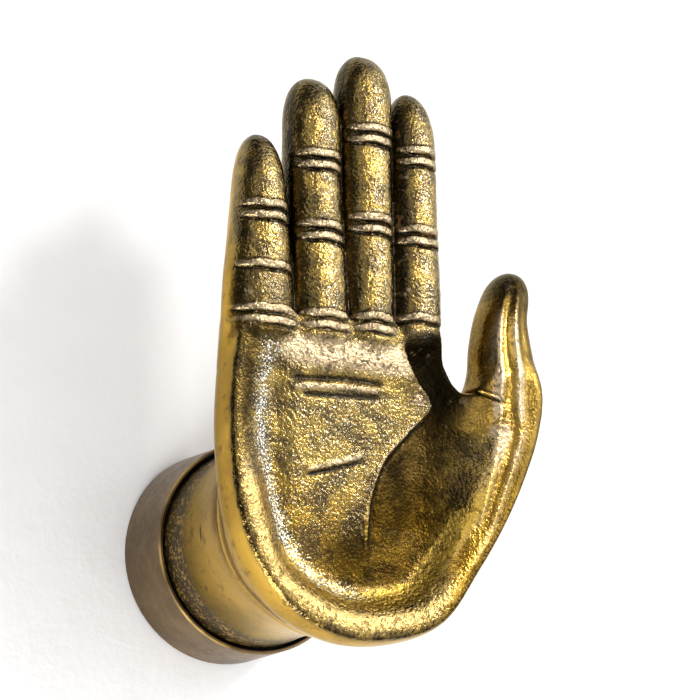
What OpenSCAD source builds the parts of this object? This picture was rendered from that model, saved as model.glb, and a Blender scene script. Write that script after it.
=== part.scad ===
// Wall-hung mudra hand: a cast brass right hand, palm to the room, that screws onto a stud in a wall plate.
// The wall is the plane Y = 0, the hand stands in front of it towards -Y and its fingers point up, +Z.
// The origin is the middle of the collar's back, and "out" below is a distance from the wall.

/* [Fingers] */
// Height of the fingertips over the collar's axis: little, ring, middle, index
tip_z = [93.5, 110, 118, 110]; // [85:0.5:122]
// Sideways place of the finger roots
root_x = [-26, -9.9, 3.6, 16.7]; // [-30:0.1:20]
// Sideways place of the fingers at their upper crease
upper_x = [-26, -11.5, 2.8, 16.2]; // [-30:0.1:20]
// Width of the finger roots
root_w = [18.2, 15.4, 14.2, 14.4]; // [13:0.1:19]
// Width of the fingers at their upper crease
upper_w = [12.8, 14.6, 14.8, 12.8]; // [12:0.1:17]
// Length of the rounded part of the fingertips
dome_h = [17, 13, 13, 17]; // [10:0.5:20]
// Distance from the wall to the front of the fingers
finger_front = 80; // [76:0.5:84]
// Depth of a finger from front to back
finger_d = 13.5; // [12:0.5:16]
// Depth of a crease line
crease_depth = 0.9; // [0.3:0.1:1.4]

/* [Palm] */
// Distance from the wall to the rim of the palm
rim_out = 79.6; // [76:0.1:82]
// Depth of the palm's dish under the rim
dish_depth = 5.6; // [3:0.1:6.5]
// Extra depth of the hollow of the thumb's ball
ball_depth = 1.4; // [0:0.1:2]
// Extra depth of the dip at the web, between the index finger and the thumb
web_depth = 6.5; // [3:0.1:7]
// Radius of the carved palm lines
line_r = 0.8; // [0.4:0.1:1.2]

/* [Wrist and collar] */
// Radius of the wrist where it enters the collar
wrist_r = 25.6; // [22:0.1:25.8]
// Outer radius of the collar at the wall
collar_r = 28; // [27.6:0.1:32]
// Height of the collar from the wall to its front edge
collar_h = 21.4; // [20.5:0.1:25]
// Outer radius of the collar at its front edge
collar_front_r = 27.6; // [27.2:0.1:30]

/* [Fixing] */
// Radius of the stud that the hand screws onto
stud_r = 4; // [3:0.5:4]
// Diameter of the wall plate
plate_d = 44; // [40:1:46]
// Distance between the two wall screw holes
screw_spacing = 28; // [26:1:31]
// Diameter of a wall screw hole
screw_d = 4.6; // [3.5:0.1:5]

/* [Hidden] */
$fn = 96;

brass_gold = "#9c7a34";
brass_brown = "#6e5a3e";
bright_brass = "#c9a550";
zinc_steel = "#a9adb0";
spring_steel = "#5b5e61";

// Clearances: a running fit, a free gap between bodies, and a cut that passes a face
fit_gap = 0.05;
free_gap = 0.3;
past = 1;

// Stations along the collar's axis, from the wall outwards
plate_t = 4;
lock_washer_t = 2;
nut_t = 4;
nut_af = 13;
nut_gap = 0.4;
spigot_end = plate_t + lock_washer_t + nut_t + nut_gap;
ring_out = 11.05;
ring_t = 1.1;
web_back = 12.5;
web_front = 16.5;
washer_t = 1;
flange_back = web_front + washer_t + free_gap;
flange_t = 3;
wrist_end = 18.2;
tenon_end = 36;
bore_end = 30;
stud_end = 28;

// Radii of the turned pieces
spigot_r = 9.95;
flange_r = 17;
tenon_r = 8;
groove_r = 9;
ring_outer_r = 11.6;
washer_outer_r = 15.5;
cup_r = 24;

// Finger sections
finger_points = 20;
finger_power = 0.79;
finger_root_z = 38;
crease_half = 0.75;
crease_lip = 0.3;
crease_side = 0.5;
crease_step = 3;
// Crease heights of each finger, and how many lines each crease has: root, middle, upper
crease_z = [[46.2, 58.6, 72.4], [46.7, 69, 87], [47.4, 72.5, 95.5], [50, 71, 91.6]];
crease_lines = [[2, 1, 2], [2, 2, 2], [2, 2, 2], [1, 2, 2]];
// Height at which each finger reaches its upper width
taper_end = [86, 87, 95.5, 91.6];
dome_steps = [0, 0.25, 0.45, 0.62, 0.76, 0.87, 0.95, 0.99];
dome_power = 2.2;
dome_lean = 1.2;
// How far each finger's front sinks into the palm at its root
root_sink = [4.5, 4.5, 4.5, 9];
back_taper = 0.12;
root_narrow = 0.84;
root_narrow_z = [35, 47];
// Stations of the root inside the palm, and the knuckle on the finger's back: height, place and reach
root_stations = [28, 33, 38];
knuckle_h = 4.4;
knuckle_z = 42;
knuckle_reach = 7.5;

// Palm outline at half thickness, as X and Z, from the little finger's root round the heel to the web
palm_outline = [
    [-31.5, 47], [-34.6, 38], [-35.9, 27], [-35.6, 12], [-33.4, -2], [-28, -14.5], [-18, -25.3], [-4, -30.8],
    [11, -30.2], [24, -25.4], [35, -13], [43.8, 1], [50, 17], [53, 33], [48.4, 41],
    [39, 40], [31, 33.5], [26, 40], [22, 47], [8, 48.5], [-14, 48.5]
];
palm_centre = [-2, 12];
// Edge of the palm as insets from the outline and distances from the wall, from its back to its rim
palm_edge = [[30, 59.6], [18, 60.5], [9.5, 62.4], [4, 65.4], [0.9, 69], [0, 72], [0.3, 76.6], [1, 78.8]];
// Insets of the front's rings from the outline, then shares of the last one on the way to the centre
front_insets = [2, 3.6, 5.2, 7, 9, 11, 13, 16];
front_shares = [0.75, 0.5, 0.25];
outline_steps = 4;

// Share of the dish's depth over the inset: on the little finger's side, at the heel and on the thumb's side
left_profile = [[1, -0.02], [2, 0], [3.5, 0.12], [6, 0.34], [9, 0.64], [11, 0.86], [13, 0.97], [16, 1]];
heel_profile = [[1, -0.02], [2, 0], [4.5, 0.03], [6.5, 0.1], [8.5, 0.36], [10.5, 0.72], [12.5, 0.95],
    [15, 1]];
thumb_profile = [[2, -0.02], [4, 0], [6.8, 0.1], [9.5, 0.06], [12, 0.16], [16, 0.42], [21, 0.75], [28, 1]];
heel_z = [20, 0];
thumb_side_x = [18, 34];
thumb_side_z = [-24, -4];
// The dish is shallower towards the fingers
shallow_z = [-4, 26];
shallow_share = 0.4;
root_z = [24, 44];
root_share = 0.45;
shallow_x = [16, 6];
// Hollow of the thumb's ball and dip of the web: place and reach as X and Z
ball_at = [17, 11];
ball_reach = [10, 17];
web_at = [24, 36];
web_reach = [8.5, 11];

// Raised middle of the palm: its depth under the rim over the height, and its outline as X and Z,
// which is the life line on the thumb's side and sinks under the dish elsewhere
raised_depth = [[-14, 5.4], [-4, 4.6], [8, 3.5], [20, 2.5], [30, 1.6], [38, 0.8], [48, 0.7]];
raised_outline = [
    [-26, 46], [-27, 31], [-27, 15], [-25, 0], [-18, -12], [-8, -19], [1, -19.5], [4.6, -16], [4.1, -10],
    [3.9, -2.9], [4.4, 4], [5.8, 9.1], [8.1, 14.3], [12, 18.8], [16, 23], [20.2, 27.8], [19.5, 31.2],
    [15.5, 36], [12.5, 42], [11, 47], [-8, 47]
];
raised_centre = [-4, 14];
raised_base = 66;
raised_insets = [1, 3.5, 7];
raised_shares = [0.7, 0.35];
raised_x = [-25, -16];
raised_z = [-20, -6];
raised_bevel = 1.4;
raised_sink = 0.5;
raised_steps = 3;

// Carved palm lines as points of X and Z
palm_lines = [
    [[-19.6, 32], [-10.6, 32.7], [-2.4, 33.1], [6.8, 32.7]],
    [[-16.3, 28.6], [-10.1, 28.7], [-1.8, 29.1], [5.7, 29.3]],
    [[-14.4, 8.8], [-6.8, 10.9], [3.1, 13.8]]
];

// Thumb stations: height, X, half width, distance from the wall and half depth
thumb_stations = [
    [8, 40, 7, 71, 7.5], [20, 42.8, 8.6, 71.6, 7.8], [33, 43.8, 9.2, 72, 7.8], [40, 43.1, 8.4, 72.4, 7.6],
    [47, 42.6, 7.5, 72.6, 7.4], [54, 43.2, 6.5, 72.4, 7], [60, 44.9, 5.7, 71.8, 6],
    [64, 46.1, 4.5, 71.2, 4.6], [66.6, 46.6, 2.2, 70.8, 2.4]
];
thumb_points = 20;
thumb_power = 0.85;

// Wrist: distances from the wall, and its flare into the palm as radii over the angle, round a centre
// that rises
wrist_stations = [wrist_end, 24, 30, 36, 41, 46, 51, 55, 59, 62.5, 65.5, 68];
wrist_waist = [[20, 0], [24, 0.2], [30, 0.5], [36, 0.6]];
flare_start = 34;
flare_end = 70;
flare_rise = 3;
flare_r = [[-180, 33.2], [-150, 33], [-120, 32.3], [-90, 33.2], [-60, 33], [-30, 31], [0, 29], [30, 28],
    [60, 28], [90, 30], [120, 31], [150, 33], [180, 33.2]];
wrist_points = 40;
station_steps = 3;

function at(x, out, z) = [x, -out, z];

function clamp(v) = min(max(v, 0), 1);

function mix(a, b, t) = a + (b - a) * t;

function ease(low, high, v) = let (t = clamp((v - low) / (high - low))) t * t * (3 - 2 * t);

function ease_over(range, v) = ease(range[0], range[1], v);

function bell(v, r) = exp(-pow(v / r, 2));

// Rounded-square section point: power 1 is an ellipse, less is squarer
function blunt(v, power) = sign(v) * pow(abs(v), power);

function mean(points) = [for (i = [0 : 2]) let (axis = [for (p = points) p[i]]) sum(axis) / len(axis)];

function sum(values) = [for (v = values) 1] * values;

// Smooth curve through points b and c, with a and d beside them
function curve(a, b, c, d, t) =
    b + 0.5 * t * ((c - a) + t * ((2 * a - 5 * b + 4 * c - d) + t * (3 * (b - c) + d - a)));

function closed_curve(p, steps) = let (n = len(p)) [
    for (i = [0 : n - 1], k = [0 : steps - 1])
        curve(p[(i + n - 1) % n], p[i], p[(i + 1) % n], p[(i + 2) % n], k / steps)
];

function open_curve(p, steps) = let (last = len(p) - 1) concat([
    for (i = [0 : last - 1], k = [0 : steps - 1])
        curve(p[max(i - 1, 0)], p[i], p[i + 1], p[min(i + 2, last)], k / steps)
], [p[last]]);

// Solid between rings of equally many points, closed at both ends round its rings' middles
module loft(rings) {
    n = len(rings[0]);
    last = len(rings) - 1;
    start = len(rings) * n;
    points = concat([for (ring = rings) each ring], [mean(rings[0]), mean(rings[last])]);
    sides = [
        for (k = [0 : last - 1], i = [0 : n - 1])
            let (a = k * n + i, b = k * n + (i + 1) % n)
                each [[a, b + n, b], [a, a + n, b + n]]
    ];
    ends = [
        for (i = [0 : n - 1])
            let (b = (i + 1) % n)
                each [[i, b, start], [last * n + b, last * n + i, start + 1]]
    ];
    polyhedron(points, concat(sides, ends));
}

// Heights of the crease lines of a finger, from its root up
function crease_heights(f) = [
    for (c = [0 : 2], k = [0 : crease_lines[f][c] - 1])
        crease_z[f][c] + crease_step * (k - (crease_lines[f][c] - 1) / 2)
];

function finger_section(f, z, inset) =
    let (
        rise = ease(crease_z[f][0], taper_end[f], z),
        reach = clamp((z - tip_z[f] + dome_h[f]) / dome_h[f]),
        round = pow(1 - pow(reach, dome_power), 1 / dome_power),
        narrow = mix(root_narrow, 1, ease_over(root_narrow_z, z)),
        half_w = mix(root_w[f], upper_w[f], rise) * narrow * round / 2,
        x = mix(root_x[f], upper_x[f], rise),
        sink = root_sink[f] * (1 - ease(finger_root_z, crease_z[f][0] - crease_step, z)),
        half_d = (finger_d * round - sink) / 2,
        knuckle = knuckle_h * bell(z - knuckle_z, knuckle_reach),
        out = finger_front - finger_d / 2 - dome_lean * reach * reach - sink / 2
    )
    [
        for (i = [0 : finger_points - 1])
            let (
                angle = -360 * i / finger_points,
                front = max(sin(angle), 0),
                back = max(-sin(angle), 0),
                reach_w = half_w * (1 - back_taper * back) - crease_side * inset * front
            )
            at(
                x + reach_w * blunt(cos(angle), finger_power),
                out + (half_d - inset * front + knuckle * back) * blunt(sin(angle), finger_power),
                z
            )
    ];

module finger(f) {
    dome_z = tip_z[f] - dome_h[f];
    lines = [for (z = crease_heights(f)) if (z < dome_z + dome_h[f] / 2) z];
    creases = [
        for (z = lines)
            each [[z - crease_half, 0], [z, crease_depth], [z + crease_half, -crease_lip]]
    ];
    between = [for (c = [0 : 1]) [(crease_z[f][c] + crease_z[f][c + 1]) / 2, 0]];
    dome = [for (t = dome_steps) [dome_z + t * dome_h[f], 0]];
    roots = [for (z = root_stations) [z, 0]];
    stations = in_order(concat(roots, creases, between, dome));
    loft([for (s = stations) finger_section(f, s[0], s[1])]);
}

// Stations sorted by height
function in_order(s) = len(s) < 2 ? s : let (
        pivot = s[floor(len(s) / 2)][0],
        below = [for (v = s) if (v[0] < pivot) v],
        same = [for (v = s) if (v[0] == pivot) v],
        above = [for (v = s) if (v[0] > pivot) v]
    )
    concat(in_order(below), [same[0]], in_order(above));

function inset_point(p, centre, d) = p + (centre - p) * d / norm(p - centre);

function mound(p, place, reach) = bell(p[0] - place[0], reach[0]) * bell(p[1] - place[1], reach[1]);

function segment_gap(p, a, b) =
    let (d = b - a, t = clamp((p - a) * d / (d * d)))
        norm(p - a - t * d);

// Distance of a point of the palm to its outline
function outline_gap(p, outline) =
    let (n = len(outline))
        min([for (i = [0 : n - 1]) segment_gap(p, outline[i], outline[(i + 1) % n])]);

// Depth of the dish under the rim, with the hollow of the thumb's ball and the dip of the web
function dish(p, outline) =
    let (
        inset = outline_gap(p, outline),
        heel = ease_over(heel_z, p[1]),
        thumb_side = ease_over(thumb_side_x, p[0]) * ease_over(thumb_side_z, p[1]),
        left = mix(lookup(inset, left_profile), lookup(inset, heel_profile), heel),
        share = mix(left, lookup(inset, thumb_profile), thumb_side),
        up = shallow_share * ease_over(shallow_z, p[1]) + root_share * ease_over(root_z, p[1])
    )
    dish_depth * share * (1 - up * ease_over(shallow_x, p[0]))
        + ball_depth * mound(p, ball_at, ball_reach) + web_depth * mound(p, web_at, web_reach);

// Distance from the wall to the palm's front without its raised middle
function dish_front(p, outline) = rim_out - dish(p, outline);

// Distance from the wall to the front of the raised middle
function raised_front(p, outline) =
    let (share = ease_over(raised_x, p[0]) * ease_over(raised_z, p[1]))
        rim_out - mix(dish(p, outline) + raised_sink, lookup(p[1], raised_depth), share);

module palm_body(outline) {
    last_inset = front_insets[len(front_insets) - 1];
    edge_rings = [
        for (edge = palm_edge) [
            for (p = outline)
                let (q = inset_point(p, palm_centre, edge[0])) at(q[0], edge[1], q[1])
        ]
    ];
    slope_rings = [
        for (inset = front_insets) [
            for (p = outline)
                let (q = inset_point(p, palm_centre, inset)) at(q[0], dish_front(q, outline), q[1])
        ]
    ];
    floor_rings = [
        for (share = front_shares) [
            for (p = outline)
                let (q = mix(palm_centre, inset_point(p, palm_centre, last_inset), share))
                    at(q[0], dish_front(q, outline), q[1])
        ]
    ];
    loft(concat(edge_rings, slope_rings, floor_rings));
}

// Raised middle of the palm, with a bevelled wall along the life line
module raised_middle(outline) {
    border = closed_curve(raised_outline, raised_steps);
    last_inset = raised_insets[len(raised_insets) - 1];
    wall_rings = [
        [for (p = border) at(p[0], raised_base, p[1])],
        [for (p = border) at(p[0], raised_front(p, outline) - raised_bevel, p[1])]
    ];
    slope_rings = [
        for (inset = raised_insets) [
            for (p = border)
                let (q = inset_point(p, raised_centre, inset)) at(q[0], raised_front(q, outline), q[1])
        ]
    ];
    floor_rings = [
        for (share = raised_shares) [
            for (p = border)
                let (q = mix(raised_centre, inset_point(p, raised_centre, last_inset), share))
                    at(q[0], raised_front(q, outline), q[1])
        ]
    ];
    loft(concat(wall_rings, slope_rings, floor_rings));
}

module thumb() {
    loft([
        for (s = open_curve(thumb_stations, station_steps)) [
            for (i = [0 : thumb_points - 1])
                let (angle = -360 * i / thumb_points)
                    at(
                        s[1] + s[2] * blunt(cos(angle), thumb_power),
                        s[3] + s[4] * blunt(sin(angle), thumb_power),
                        s[0]
                    )
        ]
    ]);
}

module wrist() {
    loft([
        for (out = wrist_stations)
            let (
                flare = pow(clamp((out - flare_start) / (flare_end - flare_start)), 2),
                plain_r = wrist_r - lookup(out, wrist_waist)
            )
            [
                for (i = [0 : wrist_points - 1])
                    let (
                        angle = 360 * i / wrist_points - 180,
                        r = mix(plain_r, lookup(angle, flare_r), flare)
                    )
                    at(r * cos(angle), out, flare_rise * flare + r * sin(angle))
            ]
    ]);
}

module palm_line(points, outline) {
    for (k = [0 : len(points) - 2]) {
        hull() {
            for (p = [points[k], points[k + 1]]) {
                translate(at(p[0], raised_front(p, outline), p[1])) sphere(line_r, $fn = 8);
            }
        }
    }
}

// Cylinder along the collar's axis from one distance from the wall to another
module turned(r, from, to) {
    translate([0, -from, 0]) rotate([90, 0, 0]) cylinder(r = r, h = to - from);
}

// Revolves a profile of radius and distance from the wall about the collar's axis
module revolved(profile) {
    rotate([90, 0, 0]) rotate_extrude() polygon(profile);
}

module hand() {
    outline = closed_curve(palm_outline, outline_steps);
    color(brass_gold) difference() {
        union() {
            for (f = [0 : 3]) finger(f);
            palm_body(outline);
            raised_middle(outline);
            thumb();
            wrist();
        }
        for (line = palm_lines) palm_line(line, outline);
        turned(flange_r + free_gap, wrist_end - past, flange_back + flange_t, $fn = 48);
        turned(tenon_r + free_gap, wrist_end, tenon_end + free_gap, $fn = 32);
    }
}

module wrist_boss() {
    color(bright_brass) revolved([
        [stud_r + fit_gap, spigot_end], [spigot_r, spigot_end],
        [spigot_r, ring_out - fit_gap], [groove_r, ring_out - fit_gap],
        [groove_r, ring_out + ring_t + fit_gap], [spigot_r, ring_out + ring_t + fit_gap],
        [spigot_r, flange_back], [flange_r, flange_back],
        [flange_r, flange_back + flange_t], [tenon_r, flange_back + flange_t],
        [tenon_r, tenon_end], [0, tenon_end], [0, bore_end], [stud_r + fit_gap, bore_end]
    ]);
}

module retaining_ring() {
    mouth = 5;
    color(spring_steel) difference() {
        turned(ring_outer_r, ring_out, ring_out + ring_t);
        turned(groove_r + fit_gap, ring_out - past, ring_out + ring_t + past);
        translate([-mouth / 2, -(ring_out + ring_t + past), -ring_outer_r - past])
            cube([mouth, ring_t + 2 * past, ring_outer_r]);
    }
}

module collar() {
    edge = 0.6;
    lip_w = 0.9;
    groove_w = 0.7;
    color(brass_brown) revolved([
        [cup_r, 0], [collar_r - edge, 0], [collar_r, edge],
        [collar_front_r, collar_h - edge], [collar_front_r - edge / 2, collar_h],
        [collar_front_r - lip_w, collar_h], [wrist_r + groove_w, web_front],
        [spigot_r + fit_gap, web_front], [spigot_r + fit_gap, web_back], [cup_r, web_back]
    ]);
}

module thrust_washer() {
    color(bright_brass) difference() {
        turned(washer_outer_r, web_front, web_front + washer_t);
        turned(spigot_r + free_gap, web_front - past, web_front + washer_t + past);
    }
}

module wall_plate() {
    head_r = 7.5;
    sink_depth = 2;
    color(zinc_steel) difference() {
        turned(plate_d / 2, 0, plate_t);
        revolved([
            [0, -past], [head_r + past, -past], [stud_r + fit_gap, head_r - stud_r - fit_gap],
            [stud_r + fit_gap, plate_t + past], [0, plate_t + past]
        ]);
        for (side = [-1, 1]) translate([side * screw_spacing / 2, 0, 0]) {
            turned(screw_d / 2, -past, plate_t + past);
            revolved([
                [0, plate_t - sink_depth], [screw_d / 2, plate_t - sink_depth],
                [screw_d / 2 + sink_depth + past, plate_t + past], [0, plate_t + past]
            ]);
        }
    }
}

module centre_bolt() {
    head_r = 7.4;
    tip = 0.8;
    color(zinc_steel) revolved([
        [0, 0], [head_r, 0], [stud_r, head_r - stud_r], [stud_r, stud_end - tip],
        [stud_r - tip, stud_end], [0, stud_end]
    ]);
}

module lock_washer() {
    outer_r = 7.4;
    color(spring_steel) difference() {
        turned(outer_r, plate_t, plate_t + lock_washer_t);
        turned(stud_r + 2 * fit_gap, plate_t - past, plate_t + lock_washer_t + past);
    }
}

module clamp_nut() {
    back = plate_t + lock_washer_t;
    color(zinc_steel) difference() {
        turned(nut_af / 2 / cos(30), back, back + nut_t, $fn = 6);
        turned(stud_r + fit_gap, back - past, back + nut_t + past);
    }
}

hand();
wrist_boss();
retaining_ring();
collar();
thrust_washer();
wall_plate();
centre_bolt();
lock_washer();
clamp_nut();
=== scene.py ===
"""Looks of the wall-hung mudra hand: the cast hand is sculpted here from smooth forms, and the turned pieces
of its fixing keep their solids. Lengths are millimetres until a mesh is made: x to the right, o out from the
wall and z up. A zone is a pair of values between which something goes smoothly from none to full. A band is a
stripe's middle and reach, and a spot is a patch's x, its reach, z and its reach."""

import itertools

import bpy
import numpy as np
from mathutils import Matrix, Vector


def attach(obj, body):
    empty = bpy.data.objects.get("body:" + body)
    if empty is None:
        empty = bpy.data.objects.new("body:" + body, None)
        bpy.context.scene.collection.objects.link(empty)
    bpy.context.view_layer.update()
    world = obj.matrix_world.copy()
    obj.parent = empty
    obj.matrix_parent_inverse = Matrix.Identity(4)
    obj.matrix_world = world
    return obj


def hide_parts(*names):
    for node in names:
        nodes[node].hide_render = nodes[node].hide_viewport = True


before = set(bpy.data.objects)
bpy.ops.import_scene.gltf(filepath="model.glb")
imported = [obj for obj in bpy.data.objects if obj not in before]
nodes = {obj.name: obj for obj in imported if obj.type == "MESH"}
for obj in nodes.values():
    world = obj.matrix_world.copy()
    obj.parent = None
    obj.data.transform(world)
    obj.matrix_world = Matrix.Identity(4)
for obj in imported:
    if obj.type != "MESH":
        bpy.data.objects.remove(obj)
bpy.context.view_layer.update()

MM = 0.001
FAR = 99.0
# Points made for each given point of a curve
CURVE_STEPS, LONG_CURVE_STEPS = 8, 6

# Fingers in order little, ring, middle, index
LITTLE, INDEX = 0, 3
TIP_Z = [93.5, 110, 118, 110]
ROOT_X = [-26, -9.9, 3.6, 16.7]
UPPER_X = [-26, -11.5, 2.8, 16.2]
ROOT_W = [18.2, 15.2, 14.0, 14.4]
UPPER_W = [12.8, 14.4, 14.6, 12.8]
TAPER_END = [86, 87, 95.5, 91.6]
DOME_H = [17, 13, 13, 17]
FINGER_FRONT = 80
FINGER_D = 13.5
FINGER_ROOT_Z = 38
ROOT_LAP = 3
FRONT_NORM = 2.5
BACK_NORM = 2.6
DOME_NORM = 2.2
DOME_LEAN = 1.2
ROOT_SINK = [4.5, 4.5, 4.5, 9]
BACK_TAPER = 0.12
ROOT_NARROW = 0.84
PHALANX_BULGE = 0.35
KNUCKLE_R = (6, 5.2, 9)
KNUCKLE_OUT = 66.5
KNUCKLE_Z = 42

# Joint lines on the fingers' fronts: bars, and the cuts below them
CREASE_Z = [[46.2, 58.6, 72.4], [46.7, 69, 87], [47.4, 72.5, 95.5], [50, 71, 91.6]]
CREASE_LINES = [[2, 1, 2], [2, 2, 2], [2, 2, 2], [1, 2, 2]]
CREASE_STEP = 3
BAR_H = 0.5
BAR_HALF = 1.05
BAR_THIN = 0.4
BAR_TAPER = (-1, -0.3)
BAR_LEFT = (-1.04, -0.86)
BAR_RIGHT = (0.85, 0.98)
BAR_RISE = 0.55
BAR_SOFT = 0.25
BAR_BOW = 0.35
BAR_WAVE, WAVE_PER_MM, WAVE_PER_LINE = 0.14, 0.9, 1.7
GROOVE_H = 0.7
GROOVE_R = 0.36
GROOVE_LAP = 0.2

# Nails and joint folds on the fingers' backs
NAIL_H = 0.4
NAIL_BELOW_TIP = 7.5
NAIL_HALF_W, NAIL_HALF_H = 0.6, 5.2
NAIL_BOW = 1.2
NAIL_EDGE = (0.85, 0.97)
MOAT_D = 0.3
MOAT = (1.02, 0.06)
JOINT_SWELL, JOINT_R = 0.35, 3.5
FOLD_D, FOLD_R, FOLD_STEP, FOLD_BOW = 0.22, 0.5, 1.7, 0.8
FOLD_END = (0.5, 0.8)

# Palm: outline at half thickness, and its edge as distances from the wall and insets from that outline
PALM_OUTLINE = [
    (-31.5, 47), (-34.6, 38), (-35.9, 27), (-35.6, 12), (-33.4, -2), (-28, -14.5), (-18, -25.3), (-4, -30.8),
    (11, -30.1), (23.6, -24.8), (33.4, -11.8), (41.9, 2), (48.7, 17.4), (52.2, 32.5), (48.6, 41),
    (39, 40), (31, 33.5), (26, 40), (22, 47), (8, 48.5), (-14, 48.5),
]
PALM_EDGE = [
    (56, 90), (59, 42), (59.6, 30), (60.5, 18), (62.4, 9.5), (65.4, 4), (69, 0.9), (72, 0),
    (75.2, 0.1), (77.6, 0.5), (78.8, 1), (79.6, 1.8), (82, 6),
]
EDGE_PROBE = 0.3
RIM_OUT = 79.6
DISH_DEPTH = 5.6
DISH_BLUR = 6
# Depth of the dish, as a share, over the inset from the outline: on the little finger's side, on the heel's side
# and on the thumb's
LEFT_INSET = [1, 2, 3.5, 6, 9, 11, 13, 16]
LEFT_SHARE = [-0.02, 0, 0.12, 0.34, 0.64, 0.86, 0.97, 1]
HEEL_INSET = [1, 2, 4.5, 6.5, 8.5, 10.5, 12.5, 15]
HEEL_SHARE = [-0.02, 0, 0.03, 0.1, 0.36, 0.72, 0.95, 1]
RIGHT_INSET = [2, 4, 6.8, 9.5, 12, 16, 21, 28]
RIGHT_SHARE = [-0.02, 0, 0.1, 0.06, 0.16, 0.42, 0.75, 1]
RIGHT_X, RIGHT_Z = (18, 34), (-24, -4)
LOW_Z = (20, 0)
SHALLOW_X = (16, 6)
SHALLOWS = [(0.4, (-4, 26)), (0.45, (24, 44))]
BALL_HOLLOW, BALL_SPOT = 1.4, (17, 10, 11, 17)
WEB_DIP, WEB_DIP_SPOT = 6.5, (24, 8.5, 36, 11)
# Raised middle of the palm: its depth under the rim over the height, and its border on the thumb's side, which is
# the life line below its corner
PLATEAU_Z = [-14, -4, 8, 20, 30, 38, 48]
PLATEAU_DEPTH = [5.4, 4.6, 3.5, 2.5, 1.6, 0.8, 0.7]
PLATEAU_BLUR = 20
PLATEAU_EDGE = [(11, 50), (12.5, 42), (15.5, 36), (19.5, 31.2), (20.2, 27.8), (16, 23), (12, 18.8), (8.1, 14.3),
                (5.8, 9.1), (4.4, 4), (3.9, -2.9), (4.1, -10), (4.6, -16)]
PAD_H, PAD_SPOT = 0.5, (-4, 13, 39, 5)
RAISED_X, RAISED_Z, RAISED_EDGE = (-25, -16), (-20, -6), (1, -0.6)
LIFE_START, LIFE_END = (0.3, 0.45), (0.82, 0.92)
LIFE_CUT, LIFE_CUT_BAND = 0.3, (1.1, 0.5)
LIFE_LIP, LIFE_LIP_BAND = 0.2, (-0.9, 0.7)
HEART_LINES = [
    [(-19.6, 32), (-10.6, 32.7), (-2.4, 33.1), (6.8, 32.7)],
    [(-16.3, 28.6), (-10.1, 28.7), (-1.8, 29.1), (5.7, 29.3)],
]
HEART_CUTS, HEART_R = [0.7, 0.6], 0.55
HEART_START, HEART_END = (0, 0.08), (0.93, 1)
HEART_RIDGE, HEART_RIDGE_R, HEART_RIDGE_BELOW = 0.3, 0.9, 2
HEART_RIDGE_START, HEART_RIDGE_END = (0, 0.1), (0.9, 1)
SLANT_LINE = [(-14.4, 8.8), (-6.8, 10.9), (3.1, 13.8)]
SLANT_START, SLANT_END = (0, 0.12), (0.85, 1)
SLANT_CUT, SLANT_CUT_R = 0.55, 0.45
SLANT_LIP, SLANT_LIP_BAND = 0.35, (1.3, 0.9)
SLANT_DARK_R, SLANT_PALE_BAND = 0.5, (1.4, 0.8)
LINE_PALE = 0.75

# Thumb: height, x, half width, out, half depth
THUMB = [
    (-2, 34.5, 3.6, 71.5, 4.4), (8, 37.8, 5.6, 71.4, 6.4), (20, 41.7, 7.7, 71.6, 7.7), (33, 43.4, 8.8, 72, 7.8),
    (40, 43.5, 8.8, 72.4, 7.6), (47, 42.9, 7.8, 72.6, 7.4), (54, 43.2, 6.6, 72.4, 7), (60, 44.9, 6.1, 71.8, 6.4),
    (68, 47, 6, 70.8, 6),
]
THUMB_TIP = 67.2
THUMB_DOME = 10
THUMB_NORM = 2.35
THUMB_LEFT_RIDGE = (-0.58, 0.19)
THUMB_RIGHT_RIDGE_R = 0.21
THUMB_RIDGE_U, THUMB_RIDGE_SHIFT, THUMB_RIDGE_SHIFT_Z = 0.05, 0.2, (36, 22)
THUMB_RIDGE_LEVEL = 0.5
THUMB_RIDGE_TOP = (66, 56)
THUMB_FOLD_CUT = 0.9
THUMB_FOLD_X, THUMB_FOLD_Z, THUMB_FOLD_SLANT, THUMB_FOLD_R = 34.5, 33.2, 0.4, 0.55
THUMB_FOLD_LEFT, THUMB_FOLD_RIGHT, THUMB_FOLD_OUT = (31, 33), (40.5, 37.5), (71, 75)

# Wrist: radii along its axis, and the flare into the palm as radii round a centre that rises with it
WRIST_OUT = [14, 21.4, 24, 30, 36]
WRIST_R = [25.7, 25.7, 25.5, 25.1, 25]
FLARE_START = 34
FLARE_END = 70
FLARE_RISE = 3
FLARE_TURN = np.arange(-180, 181, 30)
FLARE_R = [33.2, 33, 32.3, 33.2, 33, 31, 29, 28, 28, 30, 31, 33, 33.2]
WRIST_END = 18.2
WRIST_INNER = 68
FLANGE_POCKET = (17.3, 20.8)
TENON_POCKET = (8.3, 36.3)

# Fillets where the forms meet, and the heights outside which a form is left out
FINGER_FILLET, KNUCKLE_FILLET, ROOT_FILLET = 0.6, 4, 2
PALM_FILLET, RIM_FILLET = 2.2, 1.2
THUMB_FILLET, THUMB_FOOT_FILLET = 4, 6
WRIST_FILLET, WRIST_INNER_FILLET = 3.5, 4
FINGERS_FROM, PALM_TO, THUMB_FROM = 32, 62, -8

# Mesh of the hand
STEP = 0.5
NET_LOW, NET_HIGH = (-39, 16, -34), (57, 83, 120)
NET_NEAR = 2.2
SLOPE_STEP = 0.08
SETTLE_TIMES, SETTLE_MAX, SLOPE_SQUARE_MIN = 3, 0.4, 0.04
# Cast relief as heights, sizes and seeds, and curvatures as names, rounds of smoothing and gains
CAST_RELIEF = [(0.07, 2.6, 1), (0.06, 1.2, 2)]
SWELL, SWELL_SIZE, SWELL_SEED = 0.05, 7, 3
CURVATURES = [("fine", 3, 8), ("broad", 30, 1.6)]

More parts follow.
